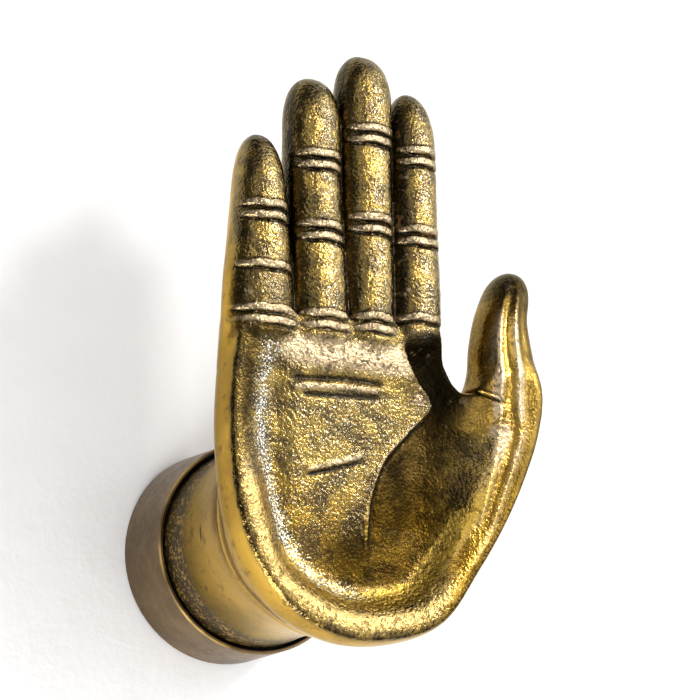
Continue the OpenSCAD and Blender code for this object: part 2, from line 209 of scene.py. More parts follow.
# Finish of the palm: zones and strengths of the worn, dark, brown, glittering and gilt places; the dark beside
# the life line is painted shadow, and the glittering places get painted glints
PAD_PALE_BAND, PAD_PALE_X, PAD_PALE_EDGE = (39, 4.2), (-25, -18), (0.3, -1.5)
MIDDLE_PALE, MIDDLE_SPOT, MIDDLE_EDGE = 0.3, (-4, 12, 22, 12), (0.3, -1)
HEEL_Z = (-6, -18)
RIM_PALE, RIM_PALE_Z, RIM_PALE_X = 0.85, (20, 2), (10, 25)
RIM_FADE, RIM_FADE_X = 0.75, (4, 16)
RIM_INSETS, RIM_REACHES = (4.6, 5.4), (3.4, 4.2)
BANDS_RISE_Z = (-4, 18)
OUTER_PALE, OUTER_INSETS, OUTER_REACH = 0.65, (3.6, 5.6), 1.4
INNER_PALE, INNER_INSETS, INNER_REACH, INNER_Z = 0.95, (8.6, 10.6), 2.4, (-10, 4)
BANDS_Z, BALL_TOP_Z, BALL_TOP_X = (30, 22), (12, 18), (37, 34)
SLOPE_PALE, SLOPE_RIM, SLOPE_FLOOR, SLOPE_LOW, SLOPE_SLANT = 0.75, (7, 8.5), (14.5, 12.5), (4, -8), 0.25
LIFE_PALE, LIFE_PALE_BAND = 0.6, (-0.8, 0.7)
# Painted shadow beside the life line's step
LIFE_PAINTED_SHADOW, LIFE_SHADOW_BAND = 0.85, (1, 0.5)
CORNER_DARK, CORNER_SPOT = 0.6, (16, 4, 31, 6)
THENAR_STEP, THENAR_X, THENAR_SLANT, THENAR_Z = (0.2, 1.4), (32, 19), 0.2, (-14, 0)
HEEL_BROWN, HEEL_BROWN_INSET, HEEL_BROWN_X = 0.9, (13, 15), (-16, -2)
HEEL_BROWN_Z, HEEL_BROWN_SLANT = (8, -6), 0.3
GLITTER_INSETS, GLITTER_REACH, GLITTER_X = (9.5, 12), 2.2, (10, -6)
GLITTER_FADE, GLITTER_FADE_Z, GLITTER_TOP_Z = 0.75, (8, 30), (46, 40)
GLITTER_PAD_Z, GLITTER_PAD_X = (28, 35), (-24, -17)
MIDDLE_GLITTER, MIDDLE_TOP_Z, MIDDLE_LOW_Z = 0.16, (36, 28), (-14, 2)
GILT_Z, GILT_SLANT, GILT_RIM, GILT_INSET = (14, -6), 0.25, 0.55, (7, 9.5)

# Finish of the whole hand, with painted shade on the fingers' and thumb's sides, between the fingers, in the web
# and on the forefinger's root, and painted glints; facing is the share of the surface's direction that points to
# the room
BELOW_FINGERS = (47, 43)
FRONT_FACING_PALM, FRONT_FACING_FINGERS, FRONT_OUT = (0.1, 0.5), (-0.2, 0.15), (62, 68)
SATIN_X = (-33, -35)
FLANK_INSET, FLANK_THUMB_Z, FLANK_THUMB_X = (0.9, 0.1), (26, 32), (30, 33)
POLISH, POLISH_INSET, POLISH_WIDTH = 0.6, (13, 9), 6
POLISH_FROM, POLISH_FROM_Z = (20, 27), (30, 40)
PALM_FACING, PALM_OUT = (0.2, 0.6), (66, 70)
# Painted shade on the fingers' left and right sides, strongest on the forefinger's left, and patina on the tips
LEFT_PAINTED_SHADE = [0.15, 0.22, 0.5, 0.75]
LEFT_SHADE_U, LEFT_SHADE_X = (-0.2, -0.75), (-31, -33)
RIGHT_PAINTED_SHADE, RIGHT_SHADE_U = 0.6, (0.75, 0.97)
TIP_PATINA, TIP_PATINA_REACH = 0.75, (0.6, 0.97)
SHADE_AND_PATINA_OUT = (66, 70)
FINGER_SKIN, FINGER_Z, FINGER_FACING = (1.2, 0.5), (43, 45), (0.1, 0.4)
# Darker between the fingers: patina and painted shade
GAP_PATINA_AND_SHADE, GAP_ROUGH = 0.85, 0.8
GAP_FRONT, GAP_BACK, GAP_OUT = (0.65, 0.3), (-0.6, -0.1), (62, 66)
LITTLE_DARK, LITTLE_DARK_Z = 0.55, (66, 52)
FINGER_GLITTER, FINGER_GLITTER_BAND = 0.3, (0.2, 0.3)
BAR_PALE = 0.72
THUMB_Z, THUMB_X, THUMB_OUT = (28, 36), (29, 33), (64, 69)
STRIPE_PALE, STRIPE_LEFT, STRIPE_RIGHT_R = 0.9, (-0.6, 0.2), 0.16
STRIPE_FOOT, STRIPE_TOP, STRIPE_FACING = (22, 30), (64, 48), (0.2, 0.6)
THUMB_LEFT_PAINTED_SHADE, THUMB_LEFT_U = 0.5, (-0.7, -0.95)
THUMB_TIP_DARK, THUMB_TIP_Z = 0.8, (46, 64)
THUMB_FOLD_DARK = 0.9
WEB_SPOT, WEB_FACING, WEB_PAINTED_SHADE, WEB_ROUGH = (24, 8, 36, 11), (-0.2, 0.3), 1.1, 0.9
ROOT_BAND, ROOT_TOP, ROOT_FOOT, ROOT_PAINTED_SHADE = (20, 6), (49, 46), (34, 40), 0.85
NECK_OUT, NECK_ROUGH = (32, 28), 0.6
PIT_OUT, PIT_Z = (41, 0.6), (-1, 2.2)
EDGE_BROWN, EDGE_TURN, EDGE_X, EDGE_OUT = 0.85, (0.3, 0.62), (20, 27), (66, 71)
CREST_BROWN, CREST_BAND, CREST_Z, CREST_X = 0.9, (4.5, 3.5), (6, 24), (-16, -24)
WRIST_BROWN, WRIST_BROWN_OUT = 0.74, (50, 26)

# Colours of the metals, darker first where a metal has two
CAST_GOLD = (0.075, 0.049, 0.012, 1), (0.25, 0.164, 0.034, 1)
SATIN_GOLD = (0.28, 0.163, 0.026, 1), (0.5, 0.298, 0.047, 1)
SATIN_STAIN = (0.17, 0.095, 0.022, 1)
SATIN_SPOT = (0.1, 0.055, 0.015, 1)
UMBER = (0.018, 0.011, 0.003, 1), (0.048, 0.029, 0.0075, 1)
NECK_CRUST = (0.034, 0.022, 0.009, 1), (0.3, 0.18, 0.045, 1)
BARE_BRASS, BARE_GILT = (0.4, 0.3, 0.175, 1), (0.48, 0.35, 0.15, 1)
GILT_TINT = (1, 0.88, 0.35, 1)
# Colours of painted glints
PAINTED_GLINT = (0.5, 0.45, 0.32, 1), (0.8, 0.81, 0.78, 1)
# Soot, and painted shade on the dark places
SOOT_AND_PAINTED_SHADE = (0.009, 0.0066, 0.0026, 1)
FLECK = (0.26, 0.18, 0.1, 1)
BRASS_EDGE_TINT = (1, 0.91, 0.7, 1)
COLLAR_BROWN = (0.12, 0.074, 0.03, 1), (0.22, 0.14, 0.062, 1)
COLLAR_RUBBED = (0.55, 0.37, 0.12, 1)
COLLAR_GROOVE = (0.012, 0.011, 0.01, 1)
TURNED_BRASS = (0.5, 0.33, 0.1, 1), (0.72, 0.5, 0.17, 1)
SPRING_STEEL = (0.08, 0.085, 0.09, 1), (0.16, 0.17, 0.18, 1)
ZINC_STEEL = (0.42, 0.43, 0.45, 1), (0.6, 0.61, 0.62, 1)
WALL_WHITE = (0.85, 0.85, 0.85, 1)
WALL_GLOW = 0.01
ROOM_GREY = (0.1, 0.1, 0.105, 1)

# Noises of the metals and the wall: scale, detail and roughness
LUMPS, SPOTS, PORES = (1250, 2, 0.45), (2100, 2, 0.5), (640, 1, 0.4)
BLOTCHES, CLOUDS, PATCHES = (190, 3, 0.55), (45, 4, 0.6), (330, 3, 0.6)
TURNED_BLOTCHES, TURNED_GRAIN = (90, 5, 0.6), (700, 3, 0.6)
COLLAR_BLOTCHES, COLLAR_GRAIN, COLLAR_WEAR = (55, 5, 0.6), (600, 4, 0.6), (38, 3, 0.6)
PLASTER = (60, 5, 0.6)
# Bumps: strength, and depth in metres
CAST_BUMP_DEPTH = 0.00045
TURNED_BUMP, COLLAR_BUMP, PLASTER_BUMP = (0.15, 0.0004), (0.12, 0.0006), (0.12, 0.004)

# Collar: its rubbed front edge and its dark groove, in distance from the wall and in radius
COLLAR_RUBBED_OUT = (20.4, 21.1)
COLLAR_GROOVE_R, COLLAR_GROOVE_OUT = (27.0, 26.7), (14.0, 15.0)
# Turned rings of the other metals, in radians of their wave a metre
RING_WAVE = 9000.0

# Stage, lamps and camera, in metres and watts; a lamp's place is given from the middle of the hand
WALL_REACH = 3.0
WALL_GAP = 0.0003
WHITE, WARM, COOL, COLD = (1, 1, 1), (1, 0.98, 0.95), (0.94, 0.97, 1), (0.9, 0.95, 1)
LIGHT_MIDDLE = (0.01, -0.06, 0.04)
LAMPS = [
    ("key", (0.5, -0.89, 0.41), 5, (0.16, 0.16), WARM),
    ("panel", (0.5, -0.95, 0.05), 3, (0.32, 1.1), WHITE),
    ("window", (0.98, -0.42, 0.25), 3.5, (0.7, 0.8), COOL),
    ("far_glint", (0.81, -0.48, 0.29), 0.8, (0.12, 0.12), COLD),
    ("ceiling", (0.46, -0.55, 0.7), 3, (0.8, 0.5), WHITE),
    ("front", (-0.05, -1.04, -0.05), 1.2, (0.66, 1.0), WHITE),
    ("sheet", (-0.32, -0.92, 0.36), 1.1, (0.36, 0.46), WHITE),
    ("fill", (-0.55, -0.78, 0.75), 0.5, (1.1, 0.45), WHITE),
    ("low", (-0.23, -0.08, -0.32), 1.6, (0.2, 0.2), WHITE),
    ("bounce", (0.5, -0.66, -0.62), 1.8, (0.8, 0.6), WHITE),
    ("floor", (-0.42, -0.58, -0.7), 1.5, (0.9, 0.6), WHITE),
]
LAMP_AIMS = {"low": (-0.07, 0, -0.05)}
LENS = 148.8
SENSOR = 36
CAMERA_AT = (-0.3259, -0.6855, -0.1170)
CAMERA_AIM = (0.0173, -0.04, 0.0504)


def smoothstep(low, high, v):
    t = np.clip((v - low) / (high - low), 0, 1)
    return t * t * (3 - 2 * t)


def mix(a, b, t):
    return a + (b - a) * t


def smooth_min(a, b, k):
    h = np.clip(k - np.abs(a - b), 0, None) / k
    return np.minimum(a, b) - h * h * k / 4


def smooth_max(a, b, k):
    return -smooth_min(-a, -b, k)


def bell(v, r):
    return np.exp(-((v / r) ** 2))


def band(v, place):
    return bell(v - place[0], place[1])


def spot(x, z, place):
    return band(x, place[:2]) * band(z, place[2:])


def most(*values):
    return np.maximum.reduce(values)


def spline(points, steps, closed=False):
    """Points of a smooth curve through the given points."""
    p = np.asarray(points, float)
    n = len(p)
    pick = (lambda i: p[i % n]) if closed else (lambda i: p[min(max(i, 0), n - 1)])
    out = []
    for i in range(n if closed else n - 1):
        a, b, c, d = (pick(i + k) for k in (-1, 0, 1, 2))
        for t in np.arange(steps) / steps:
            out.append(b + 0.5 * t * ((c - a) + t * ((2 * a - 5 * b + 4 * c - d) + t * (3 * (b - c) + d - a))))
    if not closed:
        out.append(p[-1])
    return np.array(out)


def segment_distance(path, x, z, closed=False):
    """Distance of points to a path, the share of the path's length there and the side, positive to its left."""
    a = path if closed else path[:-1]
    b = np.roll(path, -1, 0) if closed else path[1:]
    length = np.hypot(*(b - a).T)
    start = np.concatenate([[0], np.cumsum(length)[:-1]])
    best = np.full(x.shape, np.inf)
    share = np.zeros(x.shape)
    side = np.zeros(x.shape)
    for (ax, az), (bx, bz), ell, s0 in zip(a, b, length, start):
        dx, dz = (bx - ax) / ell, (bz - az) / ell
        along = np.clip((x - ax) * dx + (z - az) * dz, 0, ell)
        ex, ez = x - ax - along * dx, z - az - along * dz
        d = np.hypot(ex, ez)
        near = d < best
        best = np.where(near, d, best)
        share = np.where(near, (s0 + along) / length.sum(), share)
        side = np.where(near, np.sign(dx * ez - dz * ex), side)
    return best, share, side


def inside_polygon(path, x, z):
    odd = np.zeros(x.shape, bool)
    for (ax, az), (bx, bz) in zip(path, np.roll(path, -1, 0)):
        if az != bz:
            odd ^= ((az > z) != (bz > z)) & (x < ax + (z - az) * (bx - ax) / (bz - az))
    return odd


# Palm maps over x and z, sampled smoothly
MAP_STEP = 0.5
MAP_X = np.arange(-52, 70, MAP_STEP)
MAP_Z = np.arange(-48, 66, MAP_STEP)
MAP_MARGIN = 3.001


def sample(grid, x, z):
    """Smooth value of a palm map at points."""
    u = np.clip((x - MAP_X[0]) / MAP_STEP, 1, len(MAP_X) - MAP_MARGIN)
    v = np.clip((z - MAP_Z[0]) / MAP_STEP, 1, len(MAP_Z) - MAP_MARGIN)
    i, j = u.astype(int), v.astype(int)
    u, v = u - i, v - j

    def weights(t):
        return [-0.5 * t + t**2 - 0.5 * t**3, 1 - 2.5 * t**2 + 1.5 * t**3, 0.5 * t + 2 * t**2 - 1.5 * t**3,
                -0.5 * t**2 + 0.5 * t**3]

    wu, wv = weights(u), weights(v)
    flat = grid.ravel()
    base = (i - 1) * len(MAP_Z) + (j - 1)
    total = 0
    for m in range(4):
        row = base + m * len(MAP_Z)
        total = total + wu[m] * sum(wv[n] * flat[row + n] for n in range(4))
    return total


def blurred(grid, times):
    for _ in range(times):
        for axis in (0, 1):
            before, after = np.roll(grid, 1, axis), np.roll(grid, -1, axis)
            grid = (before + 2 * grid + after) / 4
    return grid


def ends(along, start, end):
    """Share of a carved line's depth along it."""
    return smoothstep(*start, along) * (1 - smoothstep(*end, along))


def carved_lines(x, z):
    """What the palm's carved lines add to its depth, and how dark and pale they are."""
    depth, dark = np.zeros(x.shape), np.zeros(x.shape)
    for points, cut in zip(HEART_LINES, HEART_CUTS):
        d, along, _ = segment_distance(spline(points, CURVE_STEPS), x, z)
        line = ends(along, HEART_START, HEART_END) * bell(d, HEART_R)
        depth += cut * line
        dark = most(dark, line)
    below = [(a, b - HEART_RIDGE_BELOW) for a, b in HEART_LINES[0]]
    d, along, _ = segment_distance(spline(below, CURVE_STEPS), x, z)
    ridge = ends(along, HEART_RIDGE_START, HEART_RIDGE_END) * bell(d, HEART_RIDGE_R)
    depth -= HEART_RIDGE * ridge
    d, along, side = segment_distance(spline(SLANT_LINE, CURVE_STEPS), x, z)
    line = ends(along, SLANT_START, SLANT_END)
    depth += line * (SLANT_CUT * bell(d, SLANT_CUT_R) - SLANT_LIP * band(d * side, SLANT_LIP_BAND))
    dark = most(dark, line * bell(d, SLANT_DARK_R))
    pale = LINE_PALE * most(ridge, line * band(d * side, SLANT_PALE_BAND))
    return depth, dark, pale


def palm_maps():
    """Signed distance to the palm's outline, the distance from the wall to its front, and how pale, dark, brown,
    glittering and gilt the metal there is, with painted shadow beside the life line and painted glints where it
    glitters."""
    x, z = np.meshgrid(MAP_X, MAP_Z, indexing="ij")
    outline = spline(PALM_OUTLINE, CURVE_STEPS, closed=True)
    border = segment_distance(outline, x, z, closed=True)[0]
    border = np.where(inside_polygon(outline, x, z), -border, border)
    inset = -border
    right = smoothstep(*RIGHT_X, x) * smoothstep(*RIGHT_Z, z)
    low = smoothstep(*LOW_Z, z)

    # Dish, the hollow of the thumb's ball and the dip of the web
    share = mix(np.interp(inset, LEFT_INSET, LEFT_SHARE), np.interp(inset, HEEL_INSET, HEEL_SHARE), low)
    share = mix(share, np.interp(inset, RIGHT_INSET, RIGHT_SHARE), right)
    share *= 1 - sum(part * smoothstep(*zone, z) for part, zone in SHALLOWS) * smoothstep(*SHALLOW_X, x)
    depth = blurred(DISH_DEPTH * share, DISH_BLUR)
    depth += BALL_HOLLOW * spot(x, z, BALL_SPOT)
    depth += WEB_DIP * spot(x, z, WEB_DIP_SPOT)

    # Raised middle with a step down to the thumb's side, and the life line along it
    d, along, side = segment_distance(spline(PLATEAU_EDGE, LONG_CURVE_STEPS), x, z)
    d = d * side
    level = blurred(np.interp(z, PLATEAU_Z, PLATEAU_DEPTH), PLATEAU_BLUR) - PAD_H * spot(x, z, PAD_SPOT)
    raised = smoothstep(*RAISED_X, x) * smoothstep(*RAISED_Z, z) * smoothstep(*RAISED_EDGE, d)
    depth = mix(depth, level, raised)
    life = ends(along, LIFE_START, LIFE_END)
    depth += life * (LIFE_CUT * band(d, LIFE_CUT_BAND) - LIFE_LIP * band(d, LIFE_LIP_BAND))
    line_depth, line_dark, line_pale = carved_lines(x, z)
    depth += line_depth

    # Worn places: the pad, the middle, the rim, the two bands on the thumb's side, the lower slope and the lines
    heel = smoothstep(*HEEL_Z, z)
    rim = RIM_PALE * bell(inset - mix(*RIM_INSETS, heel), mix(*RIM_REACHES, heel)) * (1 - right)
    rim *= most(smoothstep(*RIM_PALE_Z, z), smoothstep(*RIM_PALE_X, x))
    rim *= mix(1, RIM_FADE, smoothstep(*RIM_FADE_X, x))
    bands = right * smoothstep(*BANDS_Z, z) * (1 - smoothstep(*BALL_TOP_Z, z) * smoothstep(*BALL_TOP_X, x))
    rise = smoothstep(*BANDS_RISE_Z, z)
    slope = smoothstep(*SLOPE_RIM, inset) * smoothstep(*SLOPE_FLOOR, inset)
    pale = most(
        band(z, PAD_PALE_BAND) * smoothstep(*PAD_PALE_X, x) * smoothstep(*PAD_PALE_EDGE, d),
        MIDDLE_PALE * spot(x, z, MIDDLE_SPOT) * smoothstep(*MIDDLE_EDGE, d),
        rim,
        OUTER_PALE * bell(inset - mix(*OUTER_INSETS, rise), OUTER_REACH) * bands,
        INNER_PALE * bell(inset - mix(*INNER_INSETS, rise), INNER_REACH) * bands * smoothstep(*INNER_Z, z),
        SLOPE_PALE * slope * smoothstep(*SLOPE_LOW, z - SLOPE_SLANT * x),
        LIFE_PALE * life * band(d, LIFE_PALE_BAND),
        line_pale,
    )
    # Painted shadow beside the life line's step, dark specks at the plateau's corner, and patina in the carved
    # lines
    dark = most(LIFE_PAINTED_SHADOW * life * band(d, LIFE_SHADOW_BAND), CORNER_DARK * spot(x, z, CORNER_SPOT), line_dark)

    # Brown ball of the thumb and heel, the glittering strip and middle with painted glints, and the gilt lower
    # palm
    thenar = smoothstep(*THENAR_STEP, d) * smoothstep(*THENAR_X, x - THENAR_SLANT * z) * smoothstep(*THENAR_Z, z)
    floor = smoothstep(*HEEL_BROWN_INSET, inset) * smoothstep(*HEEL_BROWN_X, x)
    brown = most(thenar, HEEL_BROWN * floor * smoothstep(*HEEL_BROWN_Z, z - HEEL_BROWN_SLANT * x))
    strip = bell(inset - mix(*GLITTER_INSETS, low), GLITTER_REACH) * smoothstep(*GLITTER_X, x)
    strip *= mix(1, GLITTER_FADE, smoothstep(*GLITTER_FADE_Z, z)) * smoothstep(*GLITTER_TOP_Z, z)
    strip *= 1 - smoothstep(*GLITTER_PAD_Z, z) * smoothstep(*GLITTER_PAD_X, x)
    middle = raised * smoothstep(*MIDDLE_TOP_Z, z) * smoothstep(*MIDDLE_LOW_Z, z)
    glitter = most(strip, MIDDLE_GLITTER * middle)
    gilt = smoothstep(*GILT_Z, z - GILT_SLANT * np.abs(x)) * mix(GILT_RIM, 1, smoothstep(*GILT_INSET, inset))
    return border, RIM_OUT - depth, pale, dark, brown, glitter, gilt


PALM_BORDER, PALM_FRONT, PALM_PALE, PALM_DARK, PALM_BROWN, PALM_GLITTER, PALM_GILT = palm_maps()
THUMB_PATH = spline(THUMB, LONG_CURVE_STEPS)
EDGE_PATH = spline(PALM_EDGE, CURVE_STEPS)
FLARE_PATH = spline(list(zip(FLARE_TURN, FLARE_R)), CURVE_STEPS)


def creases(f, u, x, z):
    """Carved joint lines on a finger's front: raised bars that taper to the left, and the cuts below them."""
    bars = np.zeros(x.shape)
    cuts = np.zeros(x.shape)
    half = BAR_HALF * mix(BAR_THIN, 1, smoothstep(*BAR_TAPER, u))
    for c in range(3):
        lines = CREASE_LINES[f][c]
        for k in range(lines):
            height = CREASE_Z[f][c] + CREASE_STEP * (k - (lines - 1) / 2)
            d = z - height + BAR_WAVE * np.sin(WAVE_PER_MM * x + WAVE_PER_LINE * height) + BAR_BOW * u * u
            bars = most(bars, smoothstep(half + BAR_SOFT, half - BAR_SOFT, np.abs(d - BAR_RISE)))
            cuts = most(cuts, bell(d + half - GROOVE_LAP, GROOVE_R))
    length = ends(u, BAR_LEFT, BAR_RIGHT)
    return bars * length, cuts * length


def finger_place(f, z, o):
    """Half width and depth, middle, dome share and sideways middle of a finger at points."""
    rise = smoothstep(CREASE_Z[f][0], TAPER_END[f], z)
    reach = np.clip((z - TIP_Z[f] + DOME_H[f]) / DOME_H[f], 0, None)
    sink = ROOT_SINK[f] * (1 - smoothstep(FINGER_ROOT_Z, CREASE_Z[f][0] - CREASE_STEP, z))
    middle = FINGER_FRONT - FINGER_D / 2 - DOME_LEAN * np.clip(reach, 0, 1) ** 2 - sink / 2
    half_d = (FINGER_D - sink) / 2
    v = (o - middle) / half_d
    half_w = mix(ROOT_W[f], UPPER_W[f], rise) / 2 * (1 - BACK_TAPER * np.clip(-v, 0, 1))
    half_w *= mix(ROOT_NARROW, 1, smoothstep(FINGER_ROOT_Z - ROOT_LAP, CREASE_Z[f][0] + 1, z))
    return half_w, half_d, middle, reach, mix(ROOT_X[f], UPPER_X[f], rise)


def back_relief(f, u, z):
    """Nail and joint folds on a finger's back."""
    nail_z = TIP_Z[f] - NAIL_BELOW_TIP
    nail = most(np.abs(u) / NAIL_HALF_W, np.abs(z - nail_z + NAIL_BOW * u * u) / NAIL_HALF_H)
    total = NAIL_H * (1 - smoothstep(*NAIL_EDGE, nail)) - MOAT_D * band(nail, MOAT)
    for joint in CREASE_Z[f][1:]:
        folds = sum(bell(z - joint - FOLD_STEP * k + FOLD_BOW * u * u, FOLD_R) for k in (-1, 0, 1))
        total += JOINT_SWELL * bell(z - joint, JOINT_R) - FOLD_D * folds * (1 - smoothstep(*FOLD_END, np.abs(u)))
    return total


def finger(f, x, o, z):
    half_w, half_d, middle, reach, cx = finger_place(f, z, o)
    u = (x - cx) / half_w
    bars, cuts = creases(f, u, x, z)
    front = BAR_H * bars - GROOVE_H * cuts
    for low, high in itertools.pairwise(CREASE_Z[f]):
        front += PHALANX_BULGE * np.sin(np.pi * np.clip((z - low) / (high - low), 0, 1))
    v = (o - middle) / (half_d + np.where(o > middle, front, back_relief(f, u, z)))
    norm = np.where(v > 0, FRONT_NORM, BACK_NORM)
    ring = (np.abs(u) ** norm + np.abs(v) ** norm) ** (1 / norm)
    whole = (ring**DOME_NORM + reach**DOME_NORM) ** (1 / DOME_NORM)
    body = (whole - 1) * np.minimum(half_w, half_d)
    return smooth_max(body, FINGER_ROOT_Z - ROOT_LAP - z, ROOT_FILLET)


def knuckle(f, x, o, z):
    a, b, c = KNUCKLE_R
    ring = np.sqrt(((x - ROOT_X[f]) / a) ** 2 + ((o - KNUCKLE_OUT) / b) ** 2 + ((z - KNUCKLE_Z) / c) ** 2)
    return (ring - 1) * b


def palm(x, o, z):
    border = sample(PALM_BORDER, x, z)
    front = sample(PALM_FRONT, x, z)
    inset, above, under = (np.interp(o + step, *EDGE_PATH.T) for step in (0, EDGE_PROBE, -EDGE_PROBE))
    slope = (above - under) / (2 * EDGE_PROBE)
    side = (border + inset) / np.sqrt(1 + slope * slope)
    return smooth_max(side, o - front, RIM_FILLET)


def ridge_place(z):
    """Place of the thumb's right ridge across it."""
    return THUMB_RIDGE_U + THUMB_RIDGE_SHIFT * smoothstep(*THUMB_RIDGE_SHIFT_Z, z)


def thumb(x, o, z):
    px, pw, po, pd = (np.interp(z, THUMB_PATH[:, 0], THUMB_PATH[:, k]) for k in (1, 2, 3, 4))
    u = (x - px) / pw
    v = (o - po) / pd
    ridges = band(u, THUMB_LEFT_RIDGE) + bell(u - ridge_place(z), THUMB_RIGHT_RIDGE_R) - THUMB_RIDGE_LEVEL
    ridges *= smoothstep(*THUMB_RIDGE_TOP, z) * np.clip(v, 0, 1)
    v = (o - po) / (pd + ridges)
    ring = (np.abs(u) ** THUMB_NORM + np.abs(v) ** THUMB_NORM) ** (1 / THUMB_NORM)
    reach = np.clip((z - THUMB_TIP + THUMB_DOME) / THUMB_DOME, 0, None)
    whole = (ring**DOME_NORM + reach**DOME_NORM) ** (1 / DOME_NORM)
    return smooth_max((whole - 1) * np.minimum(pw, pd), -z, THUMB_FOOT_FILLET)


def thumb_fold(x, o, z):
    """Fold at the thumb's root, on its front."""
    line = bell(z - THUMB_FOLD_Z + THUMB_FOLD_SLANT * (x - THUMB_FOLD_X), THUMB_FOLD_R)
    length = smoothstep(*THUMB_FOLD_LEFT, x) * smoothstep(*THUMB_FOLD_RIGHT, x)
    return line * length * smoothstep(*THUMB_FOLD_OUT, o)


def wrist(x, o, z):
    flare = np.clip((o - FLARE_START) / (FLARE_END - FLARE_START), 0, 1) ** 2
    height = z - FLARE_RISE * flare
    turn = np.degrees(np.arctan2(height, x))
    radius = mix(np.interp(o, WRIST_OUT, WRIST_R), np.interp(turn, *FLARE_PATH.T), flare)
    return smooth_max(np.hypot(x, height) - radius, o - WRIST_INNER, WRIST_INNER_FILLET)


def hand_field(p):
    """Distance-like value, negative inside the hand, at points of x, o and z."""
    x, o, z = p.T
    d = np.full(x.shape, FAR)
    up = z > FINGERS_FROM
    if up.any():
        q = (x[up], o[up], z[up])
        fingers = finger(LITTLE, *q)
        for f in range(LITTLE + 1, INDEX + 1):
            fingers = smooth_min(fingers, finger(f, *q), FINGER_FILLET)
        for f in range(LITTLE, INDEX + 1):
            fingers = smooth_min(fingers, knuckle(f, *q), KNUCKLE_FILLET)
        d[up] = fingers
    low = z < PALM_TO
    if low.any():
        d[low] = smooth_min(d[low], palm(x[low], o[low], z[low]), PALM_FILLET)
    high = z > THUMB_FROM
    q = (x[high], o[high], z[high])
    d[high] = smooth_min(d[high], thumb(*q), THUMB_FILLET) + THUMB_FOLD_CUT * thumb_fold(*q)
    d = smooth_min(d, wrist(x, o, z), WRIST_FILLET)
    d = np.maximum(d, WRIST_END - o)
    r = np.hypot(x, z)
    for pocket_r, pocket_end in (FLANGE_POCKET, TENON_POCKET):
        d = np.maximum(d, -np.maximum(r - pocket_r, o - pocket_end))
    return d


def surface_net(field, low, high, step):
    """Quads where the field is zero: one point in each crossed cell, joined round each crossed edge."""
    count = [2 * int(np.ceil((b - a) / (2 * step))) + 1 for a, b in zip(low, high)]
    axes = [a + step * np.arange(n) for a, n in zip(low, count)]
    coarse = np.stack(np.meshgrid(*[a[::2] for a in axes], indexing="ij"), -1)
    rough = field(coarse.reshape(-1, 3)).reshape(coarse.shape[:3])
    value = rough.repeat(2, 0).repeat(2, 1).repeat(2, 2)[:-1, :-1, :-1]
    near = np.abs(value) < NET_NEAR
    at = np.argwhere(near)
    value[near] = field(np.stack([axes[k][at[:, k]] for k in range(3)], -1))
    inside = value < 0
    cells = np.zeros([n - 1 for n in count], np.int8)
    corners = list(itertools.product((0, 1), repeat=3))
    for c in corners:
        cells += inside[tuple(slice(c[k], count[k] - 1 + c[k]) for k in range(3))]
    active = np.argwhere((cells > 0) & (cells < len(corners)))
    number = np.full(cells.shape, -1, np.int64)
    number[tuple(active.T)] = np.arange(len(active))
    total = np.zeros((len(active), 3))
    hits = np.zeros(len(active))
    for a, b in itertools.combinations(corners, 2):
        if sum(abs(i - j) for i, j in zip(a, b)) != 1:
            continue
        va, vb = (value[tuple((active + c).T)] for c in (a, b))
        crossed = (va < 0) != (vb < 0)
        t = np.where(crossed, va / np.where(crossed, va - vb, 1), 0)
        point = np.array(a) + t[:, None] * (np.array(b) - np.array(a))
        total += np.where(crossed[:, None], point, 0)
        hits += crossed
    points = np.array(low) + step * (active + total / hits[:, None])
    quads = []
    for k in range(3):
        m, n = (k + 1) % 3, (k + 2) % 3
        ahead = [slice(None)] * 3
        behind = [slice(None)] * 3
        ahead[k], behind[k] = slice(1, None), slice(None, -1)
        change = inside[tuple(behind)].astype(np.int8) - inside[tuple(ahead)]
        edge = np.argwhere(change != 0)
        edge = edge[(edge[:, m] > 0) & (edge[:, n] > 0)]
        sign = change[tuple(edge.T)]
        ring = []
        for dm, dn in ((1, 1), (0, 1), (0, 0), (1, 0)):
            cell = edge.copy()
            cell[:, m] -= dm
            cell[:, n] -= dn
            ring.append(number[tuple(cell.T)])
        ring = np.stack(ring, -1)
        ring[sign < 0] = ring[sign < 0][:, ::-1]
        quads.append(ring)
    return points, np.concatenate(quads)


def gradient(field, p):
    here = field(p)
    slope = np.stack([field(p + SLOPE_STEP * np.eye(3)[k]) - here for k in range(3)], -1) / SLOPE_STEP
    return here, slope


def settle(field, p):
    """Moves points onto the field's zero surface and returns them with their outward directions."""
    for _ in range(SETTLE_TIMES):
        here, slope = gradient(field, p)
        square = np.clip((slope**2).sum(1), SLOPE_SQUARE_MIN, None)
        p = p - np.clip(here / square, -SETTLE_MAX, SETTLE_MAX)[:, None] * slope
    slope = gradient(field, p)[1]
    return p, slope / np.linalg.norm(slope, axis=1)[:, None]


# Primes that scramble a lattice place and a seed into a number of 32 bits
HASH_PLACE, HASH_SEED, HASH_AGAIN = (73856093, 19349663, 83492791), 2654435761, 1274126177
BITS_32, BITS_16 = 0xFFFFFFFF, 0xFFFF


def lattice_noise(p, seed):
    """Smooth noise between -1 and 1 at points given in lattice steps."""
    cell = np.floor(p).astype(np.int64)
    t = p - cell
    t = t * t * (3 - 2 * t)
    total = 0
    for corner in itertools.product((0, 1), repeat=3):
        a, b, c = ((cell + corner) * HASH_PLACE).T
        h = (a ^ b ^ c ^ (seed * HASH_SEED)) & BITS_32
        h = ((h ^ (h >> 13)) * HASH_AGAIN) & BITS_32
        shade = ((h ^ (h >> 16)) & BITS_16) / (BITS_16 / 2) - 1
        weight = np.prod(np.where(corner, t, 1 - t), axis=1)
        total = total + weight * shade
    return total


